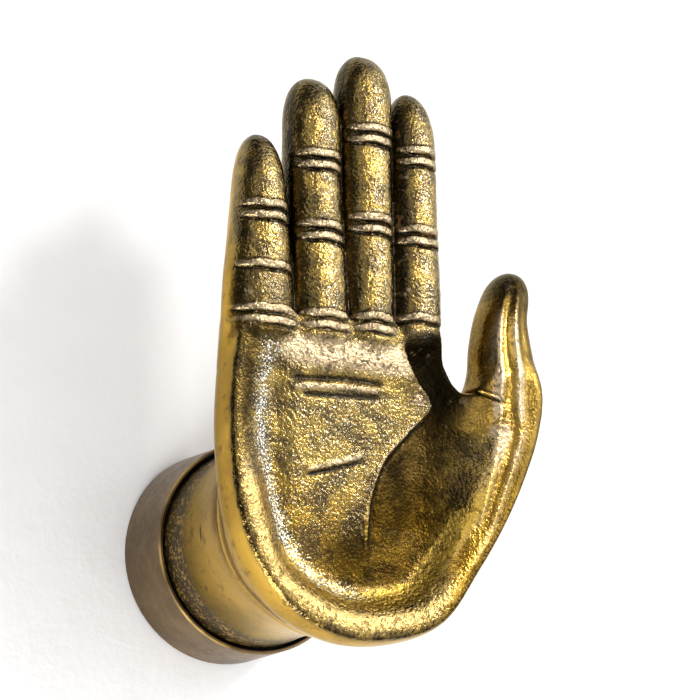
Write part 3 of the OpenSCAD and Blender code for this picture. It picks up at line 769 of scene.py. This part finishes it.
def relaxed(values, quads, times):
    """Values at the mesh's points, averaged over their neighbours again and again."""
    n = len(values)
    a = np.concatenate([quads[:, k] for k in range(4)])
    b = np.concatenate([quads[:, (k + 1) % 4] for k in range(4)])
    degree = np.clip(np.bincount(a, minlength=n), 1, None)[:, None]
    for _ in range(times):
        values = np.stack([np.bincount(a, values[b, k], n) for k in range(values.shape[1])], -1) / degree
    return values


def new_mesh(name, points, faces, layers):
    """Mesh object from points of x, o and z in millimetres, with named values at its points."""
    mesh = bpy.data.meshes.new(name)
    xyz = np.stack([points[:, 0], -points[:, 1], points[:, 2]], -1) * MM
    mesh.from_pydata(xyz.tolist(), [], faces.tolist())
    for key, values in layers.items():
        mesh.attributes.new(key, "FLOAT", "POINT").data.foreach_set("value", values.astype(np.float32))
    mesh.polygons.foreach_set("use_smooth", np.ones(len(faces), bool))
    obj = bpy.data.objects.new(name, mesh)
    bpy.context.scene.collection.objects.link(obj)
    return obj


def finger_masks(f, x, o, z, facing):
    """How rough, pale, dark and glittering a finger is at points."""
    half_w, _, _, reach, cx = finger_place(f, z, o)
    u = (x - cx) / half_w
    bars, cuts = creases(f, u, x, z)
    plain = 1 - bars
    skin = np.where(z > FINGER_ROOT_Z, finger(f, x, o, z), FAR)
    on = smoothstep(*FINGER_SKIN, skin) * smoothstep(*FINGER_Z, z)
    on_front = on * smoothstep(*FINGER_FACING, facing)
    # Painted shade on the finger's left and right sides, and patina on its tip
    shade = most(
        LEFT_PAINTED_SHADE[f] * smoothstep(*LEFT_SHADE_U, u) * (1 - smoothstep(*LEFT_SHADE_X, x)),
        RIGHT_PAINTED_SHADE * smoothstep(*RIGHT_SHADE_U, u),
        TIP_PATINA * smoothstep(*TIP_PATINA_REACH, reach),
    )
    # Between the fingers: rough, and darkened with patina and painted shade
    gap = on * smoothstep(*GAP_FRONT, facing) * smoothstep(*GAP_BACK, facing) * smoothstep(*GAP_OUT, o)
    dark = most(on * shade * smoothstep(*SHADE_AND_PATINA_OUT, o) * plain, on_front * cuts)
    if f == LITTLE:
        gap = gap * (u > 0)
        dark = most(dark, LITTLE_DARK * on_front * smoothstep(*LITTLE_DARK_Z, z) * plain)
    elif f == INDEX:
        gap = gap * (u < 0)
    # Painted glints right of the finger's middle
    glitter = FINGER_GLITTER * on_front * band(u, FINGER_GLITTER_BAND) * plain * (1 - cuts)
    return GAP_ROUGH * gap, BAR_PALE * on_front * bars, most(dark, GAP_PATINA_AND_SHADE * gap), glitter


def finish_masks(points, out):
    """How rough, pale, dark, brown, crusted, glittering and gilt the metal is at the mesh's points."""
    x, o, z = points.T
    across, facing = out[:, 0], out[:, 1]
    inset = -sample(PALM_BORDER, x, z)
    below = smoothstep(*BELOW_FINGERS, z)
    on_palm = below * smoothstep(*PALM_FACING, facing) * smoothstep(*PALM_OUT, o)
    grids = (PALM_PALE, PALM_DARK, PALM_BROWN, PALM_GLITTER, PALM_GILT)
    pale, dark, brown, glitter, gilt = (sample(grid, x, z) * on_palm for grid in grids)

    # Rough fronts between satin flanks, smoother on the thumb and the rim on its side
    start, full = (mix(a, b, below) for a, b in zip(FRONT_FACING_FINGERS, FRONT_FACING_PALM))
    rough = smoothstep(start, full, facing) * smoothstep(*FRONT_OUT, o)
    flank = below * smoothstep(*FLANK_INSET, inset)
    flank *= 1 - smoothstep(*FLANK_THUMB_Z, z) * smoothstep(*FLANK_THUMB_X, x)
    rough *= (1 - smoothstep(*SATIN_X, x) * (1 - below)) * (1 - flank)
    start = mix(*POLISH_FROM, smoothstep(*POLISH_FROM_Z, z))
    rough *= 1 - POLISH * smoothstep(*POLISH_INSET, inset) * smoothstep(start, start + POLISH_WIDTH, x)

    for f in range(LITTLE, INDEX + 1):
        masks = finger_masks(f, x, o, z, facing)
        rough, pale, dark, glitter = (most(*pair) for pair in zip((rough, pale, dark, glitter), masks))

    # Thumb with its rubbed ridges, and the fold, the web and the forefinger's root beside it; painted shade on
    # the thumb's left side, in the web and on the root
    px, pw = (np.interp(z, THUMB_PATH[:, 0], THUMB_PATH[:, k]) for k in (1, 2))
    u = (x - px) / pw
    on_thumb = smoothstep(*THUMB_Z, z) * smoothstep(*THUMB_X, x) * smoothstep(*THUMB_OUT, o)
    stripes = most(band(u, STRIPE_LEFT), bell(u - ridge_place(z), STRIPE_RIGHT_R))
    stripes *= smoothstep(*STRIPE_FOOT, z) * smoothstep(*STRIPE_TOP, z) * smoothstep(*STRIPE_FACING, facing)
    pale = most(pale, STRIPE_PALE * stripes * smoothstep(*THUMB_X, x))
    # Painted shade on the thumb's left side, and a darker tip
    shade = most(THUMB_LEFT_PAINTED_SHADE * smoothstep(*THUMB_LEFT_U, u), THUMB_TIP_DARK * smoothstep(*THUMB_TIP_Z, z))
    forward = smoothstep(*WEB_FACING, facing)
    web = spot(x, z, WEB_SPOT) * forward
    root = band(x, ROOT_BAND) * smoothstep(*ROOT_TOP, z) * smoothstep(*ROOT_FOOT, z) * forward
    pit = band(o, PIT_OUT) * band(z, PIT_Z) * (x < 0)
    fold = THUMB_FOLD_DARK * thumb_fold(x, o, z)
    # Painted shade in the web and on the forefinger's root; the fold and the pit are dark in the metal
    dark = most(dark, on_thumb * shade, fold, WEB_PAINTED_SHADE * web, ROOT_PAINTED_SHADE * root, pit)

    # Wrist, its crusted neck, and the brown crest and outer edge of the palm
    neck = smoothstep(*NECK_OUT, o)
    rough = most(rough, WEB_ROUGH * web, NECK_ROUGH * neck)
    edge = smoothstep(*EDGE_TURN, across) * smoothstep(*EDGE_X, x) * smoothstep(*EDGE_OUT, o)
    crest = band(inset, CREST_BAND) * smoothstep(*CREST_Z, z) * smoothstep(*CREST_X, x) * on_palm
    brown = most(brown, CREST_BROWN * crest, WRIST_BROWN * smoothstep(*WRIST_BROWN_OUT, o), EDGE_BROWN * edge)
    layers = {"rough": rough, "pale": pale, "dark": dark, "brown": brown, "neck": neck, "glitter": glitter,
              "gilt": gilt}
    return {key: np.clip(values, 0, 1) for key, values in layers.items()}


def make_hand():
    points, quads = surface_net(hand_field, NET_LOW, NET_HIGH, STEP)
    points, out = settle(hand_field, points)
    layers = finish_masks(points, out)
    grain = sum(height * lattice_noise(points / size, seed) for height, size, seed in CAST_RELIEF)
    relief = layers["rough"] * grain + SWELL * lattice_noise(points / SWELL_SIZE, SWELL_SEED)
    shaped = points + out * relief[:, None]
    for name, times, gain in CURVATURES:
        layers[name] = np.clip(((relaxed(shaped, quads, times) - shaped) * out).sum(1) * gain, -1, 1)
    hand = new_mesh("sculpted_hand", shaped, quads, layers)
    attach(hand, "hand")
    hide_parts("hand")
    return hand


class Graph:
    """A material's nodes, made and linked in short calls."""

    def __init__(self, name):
        self.material = bpy.data.materials.new(name)
        self.material.use_nodes = True
        self.tree = self.material.node_tree
        self.shader = self.tree.nodes["Principled BSDF"]

    def put(self, socket, value):
        if hasattr(value, "links"):
            self.tree.links.new(value, socket)
        elif hasattr(value, "outputs"):
            self.tree.links.new(value.outputs[0], socket)
        else:
            socket.default_value = value

    def set(self, **inputs):
        """Values or links for the shader's sockets, with _ for a blank in their names."""
        for key, value in inputs.items():
            self.put(self.shader.inputs[key.replace("_", " ")], value)

    def node(self, kind, *values, settings=None, **inputs):
        n = self.tree.nodes.new(kind)
        for key, value in (settings or {}).items():
            setattr(n, key, value)
        for k, value in enumerate(values):
            self.put(n.inputs[k], value)
        for key, value in inputs.items():
            self.put(n.inputs[key], value)
        return n

    def math(self, operation, *values, clamp=False):
        """Result of an operation over two values, or over more from left to right."""
        first, *rest = values
        for value in rest[:-1]:
            first = self.math(operation, first, value)
        settings = {"operation": operation, "use_clamp": clamp}
        return self.node("ShaderNodeMath", first, *rest[-1:], settings=settings).outputs[0]

    def times(self, *values):
        return self.math("MULTIPLY", *values)

    def plus(self, *values, clamp=False):
        return self.math("ADD", *values, clamp=clamp)

    def minus(self, a, b, clamp=False):
        return self.math("SUBTRACT", a, b, clamp=clamp)

    def most(self, *values):
        return self.math("MAXIMUM", *values)

    def ramp(self, value, low, high, to_low=0.0, to_high=1.0):
        settings = {"interpolation_type": "SMOOTHSTEP"}
        return self.node("ShaderNodeMapRange", value, low, high, to_low, to_high, settings=settings).outputs[0]

    def attribute(self, name):
        return self.node("ShaderNodeAttribute", settings={"attribute_name": name}).outputs["Fac"]

    def place(self):
        return self.node("ShaderNodeTexCoord").outputs["Object"]

    def noise(self, scale, detail, roughness):
        n = self.node("ShaderNodeTexNoise", Vector=self.place(), Scale=scale, Detail=detail, Roughness=roughness)
        return n.outputs["Fac"]

    def blend(self, share, a, b, kind="MIX"):
        n = self.node("ShaderNodeMix", settings={"data_type": "RGBA", "blend_type": kind}, Factor=share)
        self.put(n.inputs[6], a)
        self.put(n.inputs[7], b)
        return n.outputs[2]

    def bump(self, height, strength, distance):
        return self.node("ShaderNodeBump", Strength=strength, Distance=distance, Height=height).outputs["Normal"]


def cast_brass():
    """Cast brass with worn, dark, brown, crusted, glittering and gilt places from the mesh's own values, with
    painted shade in the dark places and painted glints in the glittering ones.
    """
    g = Graph("cast_brass_patina")
    fine, broad, rough, pale = (g.attribute(k) for k in ("fine", "broad", "rough", "pale"))
    dark, brown, glitter, gilt, neck = (g.attribute(k) for k in ("dark", "brown", "glitter", "gilt", "neck"))
    lumps = g.noise(*LUMPS)
    spots = g.noise(*SPOTS)
    blotch = g.noise(*BLOTCHES)
    wide = g.noise(*CLOUDS)
    patches = g.noise(*PATCHES)
    pores = g.ramp(g.noise(*PORES), 0.6, 0.67)
    speckle = g.times(g.minus(g.times(g.plus(lumps, blotch), 0.5), 0.5), 1.3)

    # Rough gold over satin, then brown, crust, worn metal and painted glints
    gold = g.plus(g.times(lumps, 0.22), g.times(blotch, 0.78))
    colour = g.blend(g.ramp(gold, 0.38, 0.62), *CAST_GOLD)
    satin = g.blend(g.ramp(wide, 0.38, 0.62), *SATIN_GOLD)
    satin = g.blend(g.ramp(blotch, 0.58, 0.74), satin, SATIN_STAIN)
    satin = g.blend(g.times(g.ramp(patches, 0.61, 0.68), 0.6), satin, SATIN_SPOT)
    colour = g.blend(rough, satin, colour)
    colour = g.blend(brown, colour, g.blend(g.ramp(gold, 0.4, 0.6), *UMBER))
    grit = g.plus(g.times(patches, 0.4), g.times(lumps, 0.6))
    colour = g.blend(neck, colour, g.blend(g.ramp(grit, 0.5, 0.62), *NECK_CRUST))
    worn = g.times(g.ramp(g.plus(pale, speckle), 0.25, 0.8), g.ramp(pale, 0.05, 0.3))
    colour = g.blend(worn, colour, g.blend(gilt, BARE_BRASS, BARE_GILT))
    colour = g.blend(gilt, colour, GILT_TINT, "MULTIPLY")
    # Painted glints: light flecks standing for reflections where the metal glitters
    painted_glints = g.times(g.ramp(g.plus(spots, g.times(glitter, 0.13)), 0.6, 0.7), g.ramp(glitter, 0.05, 0.2))
    painted_glint_colour = g.blend(g.ramp(glitter, 0.4, 0.8), *PAINTED_GLINT)
    painted_glint_colour = g.blend(g.times(gilt, 0.35), painted_glint_colour, GILT_TINT, "MULTIPLY")
    colour = g.blend(g.times(painted_glints, 0.9), colour, painted_glint_colour)

    # Dirt in pits, pores and hollows, soot and painted shade on the dark places, and flecks rubbed through it
    pits = g.ramp(g.plus(fine, g.minus(0.5, lumps)), 0.15, 0.5)
    soot_and_painted_shade = g.times(g.ramp(g.plus(dark, speckle), 0.15, 0.95), g.ramp(dark, 0.05, 0.3))
    hollows = g.times(g.ramp(broad, 0.4, 0.9), rough)
    dirt_and_painted_shade = g.most(g.times(pits, rough, 0.4), g.times(pores, pale, 0.6), soot_and_painted_shade, hollows)
    colour = g.blend(dirt_and_painted_shade, colour, SOOT_AND_PAINTED_SHADE)
    flecks = g.times(g.ramp(patches, 0.58, 0.66), g.ramp(dark, 0.1, 0.45), rough, g.ramp(dark, 0.95, 0.75))
    colour = g.blend(g.times(flecks, 0.75), colour, FLECK)

    # Gloss, a thin clear coat on the clean rough gold and the cast surface
    sheen = g.plus(g.ramp(spots, 0.3, 0.75, 0.15, 0.25), g.times(worn, 0.12), g.times(g.plus(brown, neck), 0.12))
    dull = g.most(brown, g.times(worn, 0.8), g.times(dark, 0.6))
    shine = g.times(rough, g.minus(1.0, dull, clamp=True))
    height = g.plus(g.times(lumps, 0.8), g.times(spots, 0.22))
    height = g.minus(height, g.times(pores, g.times(pale, 0.4)))
    surface = g.bump(height, g.plus(g.times(rough, 0.74), 0.06), CAST_BUMP_DEPTH)
    g.set(
        Base_Color=colour,
        Metallic=g.ramp(neck, 0, 1, 1.0, 0.7),
        Roughness=g.plus(sheen, g.times(dirt_and_painted_shade, 0.15), clamp=True),
        Specular_Tint=BRASS_EDGE_TINT,
        Coat_Weight=g.plus(g.times(shine, 0.45), g.times(glitter, 0.3), clamp=True),
        Coat_Roughness=0.05,
        Normal=surface,
        Coat_Normal=surface,
    )
    return g.material


def turned_metal(name, colours, roughness, stripe):
    """Turned metal with blotchy colour, faint rings of the cutting tool and small scratches."""
    g = Graph(name)
    blotch = g.noise(*TURNED_BLOTCHES)
    grain = g.noise(*TURNED_GRAIN)
    split = g.node("ShaderNodeSeparateXYZ", Vector=g.place())
    rings = g.math("SINE", g.times(split.outputs["Y"], RING_WAVE))
    g.set(
        Base_Color=g.blend(g.ramp(blotch, 0.35, 0.7), *colours),
        Metallic=1.0,
        Roughness=g.ramp(grain, 0.3, 0.7, roughness - 0.06, roughness + 0.1),
        Normal=g.bump(g.plus(g.times(rings, stripe), grain), *TURNED_BUMP),
    )
    return g.material


def collar_bronze():
    """Brown bronze, rubbed bright in places on the front edge and black in the groove round the wrist."""
    g = Graph("bronzed_collar")
    split = g.node("ShaderNodeSeparateXYZ", Vector=g.place())
    out = g.times(split.outputs["Y"], -1 / MM)
    square = g.plus(*(g.math("POWER", split.outputs[k], 2.0) for k in ("X", "Z")))
    radius = g.times(g.math("SQRT", square), 1 / MM)
    blotch = g.noise(*COLLAR_BLOTCHES)
    grain = g.noise(*COLLAR_GRAIN)
    colour = g.blend(g.ramp(blotch, 0.35, 0.68), *COLLAR_BROWN)
    edge = g.ramp(g.plus(out, g.times(g.minus(grain, 0.5), 0.8)), *COLLAR_RUBBED_OUT)
    edge = g.times(edge, g.ramp(g.noise(*COLLAR_WEAR), 0.44, 0.6))
    colour = g.blend(edge, colour, COLLAR_RUBBED)
    inner = g.times(g.ramp(radius, *COLLAR_GROOVE_R), g.ramp(out, *COLLAR_GROOVE_OUT))
    g.set(
        Base_Color=g.blend(inner, colour, COLLAR_GROOVE),
        Metallic=g.ramp(inner, 0, 1, 1.0, 0.3),
        Roughness=g.plus(g.ramp(grain, 0.3, 0.7, 0.32, 0.46), g.times(inner, 0.3)),
        Normal=g.bump(grain, *COLLAR_BUMP),
    )
    return g.material


def wall_paint():
    """White wall that is seen from its front only."""
    g = Graph("white_wall")
    g.tree.nodes.remove(g.shader)
    plaster = g.bump(g.noise(*PLASTER), *PLASTER_BUMP)
    diffuse = g.node("ShaderNodeBsdfDiffuse", Color=WALL_WHITE, Normal=plaster)
    glow = g.node("ShaderNodeEmission", Color=(*WHITE, 1), Strength=WALL_GLOW)
    both = g.node("ShaderNodeAddShader", diffuse, glow)
    clear = g.node("ShaderNodeBsdfTransparent")
    back = g.node("ShaderNodeNewGeometry").outputs["Backfacing"]
    g.put(g.tree.nodes["Material Output"].inputs["Surface"], g.node("ShaderNodeMixShader", back, both, clear))
    return g.material


def assign(obj, material):
    obj.data.materials.clear()
    obj.data.materials.append(material)


def make_stage():
    corners = [(-1, -1), (1, -1), (1, 1), (-1, 1)]
    mesh = bpy.data.meshes.new("wall")
    mesh.from_pydata([(WALL_REACH * x, WALL_GAP, WALL_REACH * z) for x, z in corners], [], [(0, 1, 2, 3)])
    wall = bpy.data.objects.new("wall", mesh)
    bpy.context.scene.collection.objects.link(wall)
    assign(wall, wall_paint())


def aim(obj, target):
    obj.rotation_euler = (Vector(target) - obj.location).to_track_quat("-Z", "Y").to_euler()


def make_light():
    middle = Vector(LIGHT_MIDDLE)
    for name, offset, watts, (width, height), colour in LAMPS:
        lamp = bpy.data.lights.new(name, "AREA")
        lamp.shape = "RECTANGLE"
        lamp.size, lamp.size_y = width, height
        lamp.energy = watts
        lamp.color = colour
        obj = bpy.data.objects.new(name, lamp)
        obj.location = middle + Vector(offset)
        bpy.context.scene.collection.objects.link(obj)
        aim(obj, LAMP_AIMS.get(name, middle))
    world = bpy.data.worlds.new("room")
    world.use_nodes = True
    world.node_tree.nodes["Background"].inputs["Color"].default_value = ROOM_GREY
    bpy.context.scene.world = world


def make_camera():
    data = bpy.data.cameras.new("camera")
    data.lens = LENS
    data.sensor_width = SENSOR
    camera = bpy.data.objects.new("camera", data)
    camera.location = CAMERA_AT
    bpy.context.scene.collection.objects.link(camera)
    aim(camera, CAMERA_AIM)
    bpy.context.scene.camera = camera


hand = make_hand()
assign(hand, cast_brass())
assign(nodes["hand"], hand.data.materials[0])
assign(nodes["collar"], collar_bronze())
brass = turned_metal("turned_brass", TURNED_BRASS, roughness=0.28, stripe=0.5)
spring = turned_metal("spring_steel", SPRING_STEEL, roughness=0.38, stripe=0.2)
zinc = turned_metal("zinc_steel", ZINC_STEEL, roughness=0.36, stripe=0.3)
metals = {"wrist_boss": brass, "thrust_washer": brass, "retaining_ring": spring, "lock_washer": spring,
          "wall_plate": zinc, "centre_bolt": zinc, "clamp_nut": zinc}
for node, material in metals.items():
    assign(nodes[node], material)
make_stage()
make_light()
make_camera()
bpy.context.scene.view_settings.view_transform = "Standard"
